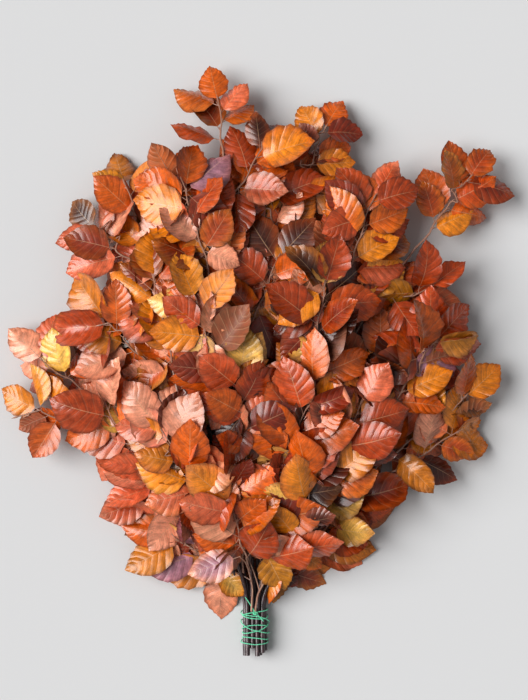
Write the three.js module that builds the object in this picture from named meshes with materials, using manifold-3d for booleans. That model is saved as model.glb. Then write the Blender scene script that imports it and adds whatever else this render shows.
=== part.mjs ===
// A tied bunch of preserved copper-beech foliage, laid down on a flat surface.
// Thirteen cut branches lie side by side in a green twine binding and fan out from it.
// Each branch is a bare woody stem that carries leafy side sprays: a thin zigzag twig with beech leaves
// on both sides. A spray is one solid of its own, and its twig starts a hair's breadth from the bark.
// Millimetres. +Y runs from the binding to the tips, +Z is up, and the bunch rests on z = 0.
import * as THREE from "three";
import { mergeVertices } from "three/addons/utils/BufferGeometryUtils.js";
import Module from "manifold-3d";

const wasm = await Module();
wasm.setup();

// Driving dimensions.
const STEM_BUTT_RADIUS = 2.8;
const STEM_TIP_RADIUS = 1.7;
const STEM_SIDES = 6;
const STEM_STEPS = 10;
const BUTT_Y = -24; // where the cut ends lie, below the binding at y = 0
const BUTT_STAGGER = 12; // how unevenly the stems are cut
const NECK_Y = 42; // the stems run nearly straight up to here
const NECK_SPREAD = 1.14; // how much further apart they are there
const PITCH_X = 6.6; // stem to stem in a row of the bundle
const PITCH_Z = 5.8; // row to row in the bundle
const BUNDLE_REST = 9; // height of the lowest row
const BUNDLE_ROWS = [4, 5, 4]; // stems in each row, from the lowest up

const TWINE_DIAMETER = 1.6;
const TWINE_SIDES = 5;
const TWINE_STEPS_PER_TURN = 14;
const TWINE_TOP_Y = 27;
const TWINE_BOTTOM_Y = -20;
const TURNS_DOWN = 5.5;
const TURNS_UP = 2.5;
const BINDING_HALF_WIDTH = 18.4;
const BINDING_HALF_HEIGHT = 11.1;
const BINDING_ROUNDNESS = 2.5; // 2 is an ellipse, more is squarer
const CROSSING_LIFT = 2.1; // how far the upward turns stand outside the downward ones
const KNOT_RADIUS = 2.3;
const KNOT = [0, 22]; // its place on the top of the binding
const TAIL_STEPS = 5;
const TAILS = [[[-5, 31], [-13, 43]], [[6, 17], [11, 11]]]; // the twine's loose ends, out from the knot

const TWIG_BASE_RADIUS = 1.5;
const TWIG_TIP_RADIUS = 1.05;
const TWIG_SIDES = 3;
const TWIG_GAP = 0.4; // between a twig's foot and its stem's bark
const INTERNODE = 23; // from one bend of a twig to the next; it bears two leaves
const ZIGZAG = 9 * THREE.MathUtils.DEG2RAD;

const LEAF_LENGTH = 63; // petiole and blade
const LEAF_LENGTH_SPREAD = 9;
const LEAF_WIDTH_SHARE = 0.65; // of the whole length
const LEAF_WIDTH_SPREAD = 0.1;
const LEAF_KEEL = 1.1; // how far the midrib stands below the blade
const SHOULDER = 0.4; // where the blade is widest, as a share of the length
const WAIST = 0.74; // where it starts to close towards the tip
const WAIST_WIDTH_SHARE = 0.8;

const LEAF_SPREAD = 50; // degrees from the twig to a side leaf, and how far that varies in all
const LEAF_SPREAD_VARIES = 22;
const LEAF_CLIMB_VARIES = 0.4; // radians
const LEAF_ROLL_VARIES = 0.8;
const LEAF_FEET = [0.34, 0.8]; // shares of an internode
const TIP_LEAF_FOOT = 0.97;

const SMALLEST_EDGE = 0.01;
const CLEAR_ABOVE = 1.3; // room kept above a new leaf's blade, and below its keel
const CLEAR_BELOW = 2.0;
const CLEAR_BESIDE = 0.5;
const PETIOLE_ROOM = 1.6; // half widths kept at the foot and at the tip
const TIP_ROOM = 0.8;
const FLOOR_CLEARANCE = 0.4;
const TRIES_PER_SIZE = 16;
const TWIG_TRIES = 40;
const TWIG_NUDGE = 0.05; // radians more at each try
const LEAF_SIZES_TRIED = [1, 0.86, 0.72];
const MOST_LEAN = 34 * THREE.MathUtils.DEG2RAD; // how far the search may turn a leaf out of its way
const OWN_SPRAY_FREE = 0.24; // share of its length in which a leaf may meet its own spray
const OTHERS_FREE = 0.08;

// Each branch: its slot in the bundle as [row, place], the points its stem passes after the neck, and its
// sprays as [share of the stem where it leaves, degrees to the left of the stem, degrees up, internodes,
// bare internodes].
const BRANCHES = [
  {
    slot: [0, 0],
    route: [[-42, 78, 22], [-84, 110, 26]],
    sprays: [[0.6, 10, 0, 2, 0], [0.8, 2, 4, 3, 0], [1, -12, 0, 4, 0]],
  },
  {
    slot: [0, 1],
    route: [[-56, 150, 26], [-126, 262, 28]],
    sprays: [[0.56, 36, 4, 4, 0], [0.88, 22, 4, 4, 0], [1, 10, 0, 5, 0]],
  },
  {
    slot: [0, 2],
    route: [[0, 220, 30], [12, 420, 34], [50, 556, 38]],
    sprays: [[0.6, -44, 2, 5, 0], [0.76, 42, 4, 5, 0], [0.9, 34, 8, 5, 0], [1, -4, 0, 5, 0]],
  },
  {
    slot: [0, 3],
    route: [[36, 84, 16], [74, 116, 24]],
    sprays: [[0.56, -8, 0, 2, 0], [0.8, -4, 4, 3, 0], [1, 10, 0, 4, 0]],
  },
  {
    slot: [1, 0],
    route: [[-66, 142, 43], [-146, 236, 44], [-186, 290, 40]],
    sprays: [[0.7, 6, 8, 5, 0], [0.93, 52, 4, 5, 3], [1, 20, 2, 5, 3]],
  },
  {
    slot: [1, 1],
    route: [[-60, 230, 44], [-118, 400, 50], [-146, 500, 46]],
    sprays: [[0.5, 12, 14, 6, 0], [0.64, 36, 12, 6, 0], [0.84, -38, 12, 5, 0], [0.94, 42, 0, 4, 1], [1, 0, 0, 4, 0]],
  },
  {
    slot: [1, 2],
    route: [[-20, 260, 46], [-38, 480, 54], [-44, 606, 48]],
    sprays: [[0.62, -38, 14, 6, 0], [0.82, 40, 8, 5, 0], [0.92, -42, 4, 4, 0], [1, 0, 0, 4, 1]],
  },
  {
    slot: [1, 3],
    route: [[64, 230, 44], [136, 400, 50], [212, 506, 46]],
    sprays: [[0.6, -38, 10, 6, 0], [0.76, 30, 14, 6, 0], [0.85, -50, 4, 3, 0], [1, 0, 0, 5, 1]],
  },
  {
    slot: [1, 4],
    route: [[80, 130, 38], [166, 224, 44]],
    sprays: [[0.6, 36, 12, 6, 0], [0.86, -26, 2, 6, 3], [1, -10, 0, 6, 0]],
  },
  {
    slot: [2, 0],
    route: [[-38, 134, 52], [-84, 250, 66], [-108, 350, 70]],
    sprays: [[0.26, -22, 26, 5, 0], [0.48, 20, 22, 6, 0], [1, 0, 6, 5, 0]],
  },
  {
    slot: [2, 1],
    route: [[-14, 180, 58], [-30, 340, 76], [-60, 470, 76]],
    sprays: [[0.2, 10, 26, 6, 0], [0.42, -10, 24, 6, 0], [0.66, 22, 18, 6, 0], [1, 4, 4, 5, 0]],
  },
  {
    slot: [2, 2],
    route: [[40, 190, 58], [84, 330, 74], [116, 460, 72]],
    sprays: [[0.2, 8, 28, 6, 0], [0.44, 8, 24, 6, 0], [0.7, 20, 14, 6, 0], [1, -4, 4, 5, 0]],
  },
  {
    slot: [2, 3],
    route: [[62, 130, 50], [128, 222, 62], [172, 290, 62]],
    sprays: [[0.34, -4, 22, 5, 0], [0.6, 24, 18, 6, 0], [1, 0, 4, 5, 0]],
  },
];

const UP = new THREE.Vector3(0, 0, 1);
const TO_RADIANS = THREE.MathUtils.DEG2RAD;

// A repeatable stream of numbers from 0 to 1.
function randomFrom(seed) {
  let state = seed;
  return () => {
    state = (state + 0x6d2b79f5) | 0;
    let mixed = Math.imul(state ^ (state >>> 15), 1 | state);
    mixed = (mixed + Math.imul(mixed ^ (mixed >>> 7), 61 | mixed)) ^ mixed;
    return ((mixed ^ (mixed >>> 14)) >>> 0) / 4294967296;
  };
}

// ---- Solids -------------------------------------------------------------------------------------

function solidFrom(geometry) {
  const bare = geometry.clone();
  bare.deleteAttribute("normal");
  bare.deleteAttribute("uv");
  const merged = mergeVertices(bare, 1e-4);
  return new wasm.Manifold(
    new wasm.Mesh({
      numProp: 3,
      vertProperties: merged.attributes.position.array,
      triVerts: new Uint32Array(merged.index.array),
    }),
  );
}

function geometryFrom(solid) {
  const { vertProperties, triVerts } = solid.getMesh();
  const geometry = new THREE.BufferGeometry();
  geometry.setAttribute("position", new THREE.BufferAttribute(vertProperties, 3));
  geometry.setIndex(new THREE.BufferAttribute(triVerts, 1));
  geometry.computeVertexNormals();
  return geometry;
}

// Whether joining has left a sliver: an edge too short to keep.
function hasSliver(solid) {
  const { vertProperties, triVerts } = solid.getMesh();
  const corner = (index) => new THREE.Vector3().fromArray(vertProperties, 3 * triVerts[index]);
  for (let i = 0; i < triVerts.length; i++) {
    const next = i % 3 === 2 ? i - 2 : i + 1;
    if (corner(i).distanceTo(corner(next)) < SMALLEST_EDGE) return true;
  }
  return false;
}

// Everything placed so far: { solid, box, spray }.
const placed = [];

function place(geometry, spray) {
  geometry.computeBoundingBox();
  placed.push({ solid: solidFrom(geometry), box: geometry.boundingBox.clone(), spray });
}

function touches(geometry, others) {
  geometry.computeBoundingBox();
  const near = others.filter((other) => other.box.intersectsBox(geometry.boundingBox));
  if (!near.length) return false;
  const solid = solidFrom(geometry);
  return near.some((other) => !solid.intersect(other.solid).isEmpty());
}

// ---- Wood ---------------------------------------------------------------------------------------

// A tapering rod: a cylinder whose rings are carried onto a curve.
function rodAlong(curve, radii, sides, steps) {
  const rod = new THREE.CylinderGeometry(1, 1, 1, sides, steps, false, Math.PI / sides);
  const frames = curve.computeFrenetFrames(steps, false);
  const point = rod.attributes.position;
  for (let i = 0; i < point.count; i++) {
    const along = THREE.MathUtils.clamp(point.getY(i) + 0.5, 0, 1);
    const ring = Math.round(along * steps);
    const radius = THREE.MathUtils.lerp(radii[0], radii[1], along);
    const carried = curve
      .getPointAt(along)
      .addScaledVector(frames.normals[ring], -point.getX(i) * radius)
      .addScaledVector(frames.binormals[ring], point.getZ(i) * radius);
    point.setXYZ(i, carried.x, carried.y, carried.z);
  }
  return rod;
}

function bundleSlot([row, place]) {
  const x = (place - (BUNDLE_ROWS[row] - 1) / 2) * PITCH_X;
  const z = BUNDLE_REST + row * PITCH_Z;
  return new THREE.Vector3(x, 0, z);
}

function stemCurve(branch, random) {
  const slot = bundleSlot(branch.slot);
  const butt = slot.clone().setY(BUTT_Y - random() * BUTT_STAGGER);
  const neck = new THREE.Vector3(slot.x * NECK_SPREAD, NECK_Y, slot.z);
  const rest = branch.route.map(([x, y, z]) => new THREE.Vector3(x, y, z));
  return new THREE.CatmullRomCurve3([butt, slot, neck, ...rest]);
}

// ---- Twine --------------------------------------------------------------------------------------

// One length of twine, wound down the bundle and back up over its own turns.
class TwineCurve extends THREE.Curve {
  getPoint(share, target = new THREE.Vector3()) {
    const turns = TURNS_DOWN + TURNS_UP;
    const turn = share * turns;
    const angle = turn * 2 * Math.PI - Math.PI / 2;
    const over = THREE.MathUtils.smoothstep(turn, TURNS_DOWN - 0.5, TURNS_DOWN + 0.3);
    const lift = over * CROSSING_LIFT;
    const down = Math.min(turn / TURNS_DOWN, 1);
    const back = Math.max(turn - TURNS_DOWN, 0) / TURNS_UP;
    const y = THREE.MathUtils.lerp(TWINE_TOP_Y, TWINE_BOTTOM_Y, down) +
      back * (TWINE_TOP_Y - TWINE_BOTTOM_Y);
    const power = 2 / BINDING_ROUNDNESS;
    const hug = (wave) => Math.sign(wave) * Math.abs(wave) ** power;
    const middle = bundleSlot([1, 2]).z;
    return target.set(
      hug(Math.cos(angle)) * (BINDING_HALF_WIDTH + lift),
      y,
      middle + hug(Math.sin(angle)) * (BINDING_HALF_HEIGHT + lift),
    );
  }
}

// The turns, with a knot on top and its two loose ends, all one solid.
function twine() {
  const steps = Math.round((TURNS_DOWN + TURNS_UP) * TWINE_STEPS_PER_TURN);
  const radius = TWINE_DIAMETER / 2;
  const turns = rodAlong(new TwineCurve(), [radius, radius], TWINE_SIDES, steps);
  const top = bundleSlot([1, 2]).z + BINDING_HALF_HEIGHT + CROSSING_LIFT / 2;
  const onTop = ([x, y]) => new THREE.Vector3(x, y, top);
  const knot = new THREE.IcosahedronGeometry(KNOT_RADIUS, 1).translate(...onTop(KNOT).toArray());
  const ends = TAILS.map((tail) => {
    const curve = new THREE.CatmullRomCurve3([KNOT, ...tail].map(onTop));
    return rodAlong(curve, [radius, radius], TWINE_SIDES, TAIL_STEPS);
  });
  return geometryFrom([knot, ...ends].reduce((solid, more) => solid.add(solidFrom(more)), solidFrom(turns)));
}

// ---- Leaves -------------------------------------------------------------------------------------

// A leaf along +Y from its foot at the origin, its flat upper side up and its midrib as a keel below.
// It starts as a three-sided lathe, whose rings are then pressed flat.
function leafGeometry(length, width) {
  const profile = [
    [0, 0],
    [width / 2, SHOULDER * length],
    [(width / 2) * WAIST_WIDTH_SHARE, WAIST * length],
    [0, length],
  ].map(([x, y]) => new THREE.Vector2(x, y));
  const leaf = new THREE.LatheGeometry(profile, 3);
  const point = leaf.attributes.position;
  const edge = Math.sin(Math.PI / 3); // how far out a three-sided ring's corners stand
  for (let i = 0; i < point.count; i++) {
    const keel = point.getZ(i) > 1e-3;
    point.setXYZ(i, keel ? 0 : -point.getX(i) / edge, point.getY(i), keel ? -LEAF_KEEL : 0);
  }
  return leaf;
}

// The room that a leaf needs: a flat six-sided slab round it, from "start" along its length.
function leafRoom(length, width, start) {
  const side = [
    [PETIOLE_ROOM, start * length],
    [width / 2 + CLEAR_BESIDE, SHOULDER * length],
    [(width / 2) * WAIST_WIDTH_SHARE + CLEAR_BESIDE, WAIST * length],
    [TIP_ROOM, length + TIP_ROOM],
  ];
  const outline = [...side, ...side.map(([x, y]) => [-x, y]).reverse()];
  const shape = new THREE.Shape(outline.map(([x, y]) => new THREE.Vector2(x, y)));
  const room = new THREE.ExtrudeGeometry(shape, { depth: CLEAR_ABOVE + CLEAR_BELOW, bevelEnabled: false });
  return room.translate(0, 0, -CLEAR_BELOW);
}

// Turns +Y to the heading and +Z as near to the normal as that leaves, then moves to the foot.
function leafPlace(foot, heading, normal) {
  const across = new THREE.Vector3().crossVectors(heading, normal).normalize();
  const above = new THREE.Vector3().crossVectors(across, heading);
  return new THREE.Matrix4().makeBasis(across, heading, above).setPosition(foot);
}

function direction(turn, climb) {
  return new THREE.Vector3(
    Math.cos(climb) * Math.cos(turn),
    Math.cos(climb) * Math.sin(turn),
    Math.sin(climb),
  );
}

// Joins one leaf to its spray's solid where it finds room: nearly as asked at first, then leaning further
// and further. The solid comes back as it was if there is no room.
function growLeaf(solid, want, spray, random) {
  const others = placed.filter((other) => other.spray !== spray);
  const own = placed.filter((other) => other.spray === spray);
  for (const size of LEAF_SIZES_TRIED) {
    const length = want.length * size;
    const width = length * want.widthShare;
    for (let attempt = 0; attempt < TRIES_PER_SIZE; attempt++) {
      const lean = (MOST_LEAN * attempt) / TRIES_PER_SIZE;
      const swing = () => (random() - 0.5) * 2 * lean;
      const heading = direction(want.turn + swing() * 0.7, want.climb + swing());
      const normal = UP.clone().applyAxisAngle(heading, want.roll + swing() * 1.3);
      const matrix = leafPlace(want.foot, heading, normal);
      const room = leafRoom(length, width, OTHERS_FREE).applyMatrix4(matrix);
      room.computeBoundingBox();
      if (room.boundingBox.min.z < FLOOR_CLEARANCE) continue;
      const blade = leafRoom(length, width, OWN_SPRAY_FREE).applyMatrix4(matrix);
      if (touches(blade, own) || touches(room, others)) continue;
      const leaf = leafGeometry(length, width).applyMatrix4(matrix);
      const joined = solid.add(solidFrom(leaf));
      if (hasSliver(joined)) continue;
      place(leaf, spray);
      return joined;
    }
  }
  return solid;
}

// ---- Sprays -------------------------------------------------------------------------------------

// The twig's corner points: it leaves its stem, wavers from side to side and levels out or droops.
function twigPoints(foot, turn, climb, curl, nodes, side) {
  const points = [foot];
  for (let i = 0; i < nodes; i++) {
    const share = i / nodes;
    const waver = (i % 2 ? 1 : -1) * side * ZIGZAG;
    const heading = direction(turn + curl * share + waver, climb * (1 - 1.25 * share));
    points.push(points.at(-1).clone().addScaledVector(heading, INTERNODE));
  }
  return points;
}

// A twig that leaves the stem at a share of its length, turned a little until it is clear of everything.
function makeTwig(stem, [at, degrees, rise, nodes], random) {
  const root = stem.getPointAt(at);
  const tangent = stem.getTangentAt(at);
  const side = at < 1 ? Math.sign(degrees) : 0;
  const radius = THREE.MathUtils.lerp(STEM_BUTT_RADIUS, STEM_TIP_RADIUS, at);
  const turn = Math.atan2(tangent.y, tangent.x) + degrees * TO_RADIANS;
  for (let attempt = 0; attempt < TWIG_TRIES; attempt++) {
    const nudge = (random() - 0.5) * TWIG_NUDGE * attempt;
    const climb = (side ? 0 : Math.asin(tangent.z) * 0.6) + rise * TO_RADIANS + nudge;
    const heading = direction(turn + nudge * 0.5, climb);
    const apart = Math.max(heading.angleTo(tangent), 0.3);
    const clear = side
      ? (radius + TWIG_GAP + TWIG_BASE_RADIUS * Math.cos(apart)) / Math.sin(apart)
      : TWIG_GAP + TWIG_BASE_RADIUS * Math.sin(heading.angleTo(tangent));
    const foot = root.clone().addScaledVector(heading, clear);
    const points = twigPoints(foot, turn + nudge * 0.5, climb, -side * 0.35, nodes, side || 1);
    const curve = new THREE.CatmullRomCurve3(points);
    const twig = rodAlong(curve, [TWIG_BASE_RADIUS, TWIG_TIP_RADIUS], TWIG_SIDES, nodes);
    twig.computeBoundingBox();
    if (twig.boundingBox.min.z < FLOOR_CLEARANCE) continue;
    if (!touches(twig, placed)) return { twig, points };
  }
  return null;
}

// Leaves along the twig on alternate sides, two to an internode past the bare ones, and one at the tip.
function leafPlan(points, bare, random) {
  const plan = [];
  for (let i = 1 + bare; i < points.length; i++) {
    const run = points[i].clone().sub(points[i - 1]);
    const ahead = Math.atan2(run.y, run.x);
    const climb = Math.asin(run.z / run.length());
    const feet = [[LEAF_FEET[0], i % 2 ? 1 : -1], [LEAF_FEET[1], i % 2 ? -1 : 1]];
    if (i === points.length - 1) feet.push([TIP_LEAF_FOOT, 0]);
    for (const [share, side] of feet) {
      const spread = (side * LEAF_SPREAD + LEAF_SPREAD_VARIES * (random() - 0.5)) * TO_RADIANS;
      plan.push({
        foot: points[i - 1].clone().addScaledVector(run, share),
        turn: ahead + spread,
        climb: climb / 2 + (random() - 0.6) * LEAF_CLIMB_VARIES,
        roll: (random() - 0.5) * LEAF_ROLL_VARIES,
        length: LEAF_LENGTH + (random() - 0.5) * 2 * LEAF_LENGTH_SPREAD,
        widthShare: LEAF_WIDTH_SHARE + (random() - 0.5) * LEAF_WIDTH_SPREAD,
      });
    }
  }
  return plan;
}

// ---- The bunch ----------------------------------------------------------------------------------

const bark = new THREE.MeshStandardMaterial({ name: "bark", color: 0x4a3230, roughness: 0.7, metalness: 0 });
const leafSkin = new THREE.MeshStandardMaterial({ name: "leaf", color: 0xb2551f, roughness: 0.45, metalness: 0 });
const twineGreen = new THREE.MeshStandardMaterial({ name: "twine", color: 0x4fb98a, roughness: 0.8, metalness: 0 });

function named(name, geometry, material) {
  const mesh = new THREE.Mesh(geometry, material);
  mesh.name = name;
  return mesh;
}

const bunch = new THREE.Group();
const label = (number) => String(number).padStart(2, "0");

const binding = twine();
place(binding, "binding");
bunch.add(named("twine_binding", binding, twineGreen));

const stems = BRANCHES.map((branch, index) => {
  const curve = stemCurve(branch, randomFrom(100 + index));
  const stem = rodAlong(curve, [STEM_BUTT_RADIUS, STEM_TIP_RADIUS], STEM_SIDES, STEM_STEPS);
  place(stem, `stem_${index}`);
  bunch.add(named(`stem_${label(index + 1)}`, stem, bark));
  return curve;
});

const sprays = [];
BRANCHES.forEach((branch, index) => {
  const random = randomFrom(500 + index);
  branch.sprays.forEach((spray, order) => {
    const made = makeTwig(stems[index], spray, random);
    if (!made) return;
    const name = `spray_${label(index + 1)}_${"abcdefgh"[order]}`;
    place(made.twig, name);
    sprays.push({ name, ...made, bare: spray[4], random, height: branch.route[1][2] + spray[2] });
  });
});

sprays.sort((a, b) => b.height - a.height);
for (const { name, twig, points, bare, random } of sprays) {
  let solid = solidFrom(twig);
  for (const want of leafPlan(points, bare, random)) solid = growLeaf(solid, want, name, random);
  bunch.add(named(name, geometryFrom(solid), leafSkin));
}

// The origin goes to the middle of the underside.
const extent = new THREE.Box3().setFromObject(bunch);
const middle = extent.getCenter(new THREE.Vector3());
bunch.position.set(-middle.x, -middle.y, -extent.min.z);

export default bunch;
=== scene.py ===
"""A tied bunch of preserved copper-beech branches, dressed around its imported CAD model.

Every spray of the CAD model says where its leaves are: each faceted blade there becomes a pleated, curling
leaf with its own stalk and midrib, on a knuckled twig with buds. Where the bunch is dense, more leaves hang
beside these, and a few leaves and shoots grow round the neck. The stems get bark and sawn ends, and the
binding becomes a twisted twine of two strands, with its knot and loose ends.
"""

import math
import random
from itertools import combinations

import bmesh
import bpy
from bpy.props import FloatProperty, FloatVectorProperty, IntProperty, PointerProperty
from mathutils import Matrix, Vector, noise


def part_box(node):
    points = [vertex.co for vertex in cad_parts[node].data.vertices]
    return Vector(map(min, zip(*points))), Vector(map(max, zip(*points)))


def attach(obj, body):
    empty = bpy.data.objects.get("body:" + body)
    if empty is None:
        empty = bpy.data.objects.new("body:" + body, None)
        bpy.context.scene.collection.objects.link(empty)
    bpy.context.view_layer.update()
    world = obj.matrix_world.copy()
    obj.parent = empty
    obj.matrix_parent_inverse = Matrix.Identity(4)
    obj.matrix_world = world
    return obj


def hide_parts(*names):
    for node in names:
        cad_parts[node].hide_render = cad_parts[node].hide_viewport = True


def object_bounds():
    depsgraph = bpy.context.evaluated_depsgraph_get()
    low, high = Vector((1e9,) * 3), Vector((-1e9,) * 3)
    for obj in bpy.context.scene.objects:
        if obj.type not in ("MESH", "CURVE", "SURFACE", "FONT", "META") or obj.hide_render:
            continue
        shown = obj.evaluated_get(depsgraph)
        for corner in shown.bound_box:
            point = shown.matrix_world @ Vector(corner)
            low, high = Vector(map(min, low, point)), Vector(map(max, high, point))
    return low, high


bl_info = {
    "name": "Preserved Beech Bunch",
    "version": (1, 0, 0),
    "blender": (4, 5, 0),
    "location": "3D View > Sidebar > Beech",
    "description": "Builds a tied bunch of preserved beech branches around its CAD model",
    "category": "Add Mesh",
}

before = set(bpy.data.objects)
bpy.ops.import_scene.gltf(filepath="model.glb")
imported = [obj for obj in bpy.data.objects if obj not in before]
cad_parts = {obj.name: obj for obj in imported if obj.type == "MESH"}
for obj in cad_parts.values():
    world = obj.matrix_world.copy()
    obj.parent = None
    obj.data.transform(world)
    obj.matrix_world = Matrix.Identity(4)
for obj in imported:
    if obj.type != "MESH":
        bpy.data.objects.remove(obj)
CAD_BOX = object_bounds()
CAD_LOW, CAD_HIGH = (Vector(corner) for corner in CAD_BOX)
CAD_SIZE = CAD_HIGH - CAD_LOW
MM = 0.001

STEMS = sorted(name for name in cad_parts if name.startswith("stem_"))
SPRAYS = sorted(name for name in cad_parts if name.startswith("spray_"))
BINDING = "twine_binding"

# The CAD model's own rules, in metres where they are sizes.
WELD = 0.01 * MM
WAIST = 0.74  # the last corners of a CAD blade, as a share of its length
WAIST_WIDTH_SHARE = 0.8
SHORTEST_TIP_EDGE = 8 * MM
RING_REACH = 3.3 * MM  # corners of one twig ring are nearer to each other than this
STEM_RING_REACH = 9 * MM
PAINTED_LIGHT_FROM = 60 * MM  # how far up from the tie the bark keeps its own dark colour, and where the painted light on the paler upper wood begins
PAINTED_LIGHT_TO = 220 * MM
SWOLLEN_BUTT = 0.16  # how much thicker a stem is at its cut end, where the bunch is squeezed together
CLEAR_OF_FOOT = 5 * MM

# The binding's route, as the CAD model winds it.
TWINE_RADIUS = 0.8 * MM
TWINE_TOP = 27 * MM
TWINE_BOTTOM = -20 * MM
TURN_TILT = 7 * MM
TILT_PER_TURN = 2.5
TURNS_DOWN = 5.5
TURNS_UP = 2.5
BINDING_HALF_WIDTH = 16.9 * MM  # the twine bites in, against the CAD model's 18.4 mm
BINDING_HALF_HEIGHT = 11.1 * MM
BINDING_ROUNDNESS = 2.5
CROSSING_LIFT = 2.1 * MM
KNOT = (0.0, 22 * MM)
TAILS = [[(-5, 31), (-13, 43)], [(6, 17), (11, 11)]]  # millimetres, on top of the binding

binding_low, binding_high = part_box(BINDING)
TIE = Vector((
    (binding_low.x + binding_high.x) / 2,
    binding_low.y + TWINE_RADIUS - TWINE_BOTTOM,
    binding_low.z + TWINE_RADIUS + CROSSING_LIFT + BINDING_HALF_HEIGHT,
))  # the middle of the bundle where the CAD model has its y = 0

# How the visible pieces are drawn.
VEIN_SLANT = 0.27  # how far a side vein runs forward on its way to the margin, as a share of the blade
BASE_SLANT = 0.09  # how far into its course the slant of the lowest row already is
TOOTH = 0.03
FULLNESS = 1.2  # a blade in the dense part, against the kite that stands for it in the CAD model
DENSE_MIDDLE = (0.5, 0.46)  # where the bunch has more than one leaf to a bud, as shares of the box
DENSE_REACH = 0.4
RIM_SHARE = 0.5  # the rim's distance from the middle, as a share of the box
RIM_DROOP = 0.4  # radians, at the rim
LEAF_MIDDLE = 0.55
COMPANION_COUNTS = (0, 1, 2, 2)
COMPANION_TURN = (0.8, 2.0)  # radians away from the leaf that it grows beside
COMPANION_RISE = 0.1  # the steepest that its heading may climb before it dips
COMPANION_DIP = (0.1, 0.4)
COMPANION_LENGTH = (0.75, 1.0)
COMPANION_WIDTH = (0.6, 0.72)
COMPANION_LEAN = 0.25
LOWEST_TIP = 5 * MM
FLOOR_GAP = 0.5 * MM  # a leaf that would reach lower lies flat on the floor instead
TIP_HALF = 0.35 * MM
CURLED_SHARE = 0.1
RAGGED_SHARE = 0.04
TURNED_OVER_SHARE = 0.1

# How leaves dry: the ranges that one leaf's bends, in radians, and its waves and pleats are drawn from.
ARCH = (0.1, 0.75)
CURLED_ARCH = 0.5  # added where the leaf is curled
CURLED_CUP = (0.8, 1.35)
CUP_SPREAD = 0.3
FLATTEST_CUP = 0.02  # a leaf that is cupped less than this is drawn flat from side to side
FOLD = (0.08, 0.4)
WAVE_HEIGHT = (0.4, 2.2)  # millimetres
WAVE_COUNT = (1.2, 2.6)
ROLL_SPREAD = 0.22
TWIST_SPREAD = 0.2
SWEEP = 0.07
PLEAT_RANGE = (0.8, 1.5)
PLEAT_FADE = 0.6  # how much shallower the pleats are at the tip
RAGGED_MARGIN = (0.06, 0.12)
WHOLE_MARGIN = (0.0, 0.03)
NIBBLES = 9
MAIN_COLOUR_AT = 0.4  # where up the blade its main colour is purest
TONE_SPREAD = 0.1
MARGIN_TURN = (0.15, 0.55)  # how far the margin turns towards the leaf's other colour

# Stalks, twigs and buds.
MIDRIB_ROWS = (0, 0.25, 0.5, 0.75, 0.97)
STALK_TAPER = (1, 0.82, 0.78, 0.62, 0.46, 0.3, 0.16)
STALK_SAG = 0.05
STALK_SIDES = 6
TWIG_TAPER = 0.5
TWIG_COLLAR = 1.45  # how much thicker a twig is where it leaves its stem
TWIG_STEPS = 3
KNUCKLE_RISE = 0.18
KNUCKLE_WAIST = 0.06
TWIG_WANDER = 0.15  # millimetres
BUD_PROFILE = ((0, 0.06), (0.3, 0.13), (0.6, 0.11), (1, 0.012))
BUD_SHARE = 0.5
END_BUD = (8, 11)  # millimetres
SIDE_BUD = (5.5, 8)  # millimetres
BUD_FORWARD = 1.2
BUD_UP = 0.4
CLOSEST_BENDS = 3 * MM
ROOT_DEPTH = 3 * MM
SHOOT_TAPER = 0.35
SHOOT_STEPS = 5

# Stems.
STEM_STEPS = 6
STEM_SIDES = 12
STRAIGHT_STEPS = 8  # the first of them, inside the tie, don't wander
STEM_WANDER_MM = 0.8
WANDER_SCALE = 45
WANDER_APART = (0, 31, 67)  # far enough apart in the noise for the three directions to be unlike
STEM_SCAR_SHARE = 0.16  # of the steps, where a shoot has been
STEM_SCAR_SWELL = 0.16
BUTT_REACH = 90 * MM
CAP_REACH = 4 * MM
CUT_BEVEL = 0.35 * MM
BARK_THICKNESS = 0.4 * MM
HEART_INSET = 1.1 * MM
HEART_DEPTH = 0.15 * MM
SHARP_EDGE = math.radians(50)

# Twine.
STEPS_PER_TURN = 110
STRAND_FULLNESS = 1.12  # strands press into each other
TWINE_SIDES = 6
OFF_UPRIGHT = (0.1, 0.2, 1)  # a direction that the twine never runs along
CLIMB_BEFORE = 0.5  # turns before the lowest where it starts to lift over itself
CLIMB_TURNS = 0.8
KNOT_STEPS = 72
KNOT_PERCH = 0.9
KNOT_REACH = 1.5  # millimetres
KNOT_LOBE = 0.9  # millimetres
KNOT_WIDENING = 1.25
KNOT_HEIGHT = 0.75 * MM
TAIL_STEPS = 16

# Leaves round the neck, in millimetres from the tie: foot, tip, width, then the lean of the upper side and
# the main and margin colours.
NECK_LEAVES = (
    ((-20, 101, 52), (-88, 76, 46), 44, (-0.3, 0.05), "mauve", "blush"),
    ((-46, 78, 4), (-17, 41, 2), 32, (0.1, -0.2), "cream", "amber"),
    ((47, 104, 21), (12, 73, 16), 31, (-0.1, 0.2), "ochre", "amber"),
    ((33, 90, 17), (17, 33, 6), 26, (-0.9, 0.1), "amber", "copper"),
    ((27, 80, 2), (57, 55, -4), 31, (0.15, 0.0), "umber", "chestnut"),
    ((52, 112, 20), (88, 80, 8), 38, (0.1, -0.2), "amber", "copper"),
)
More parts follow.
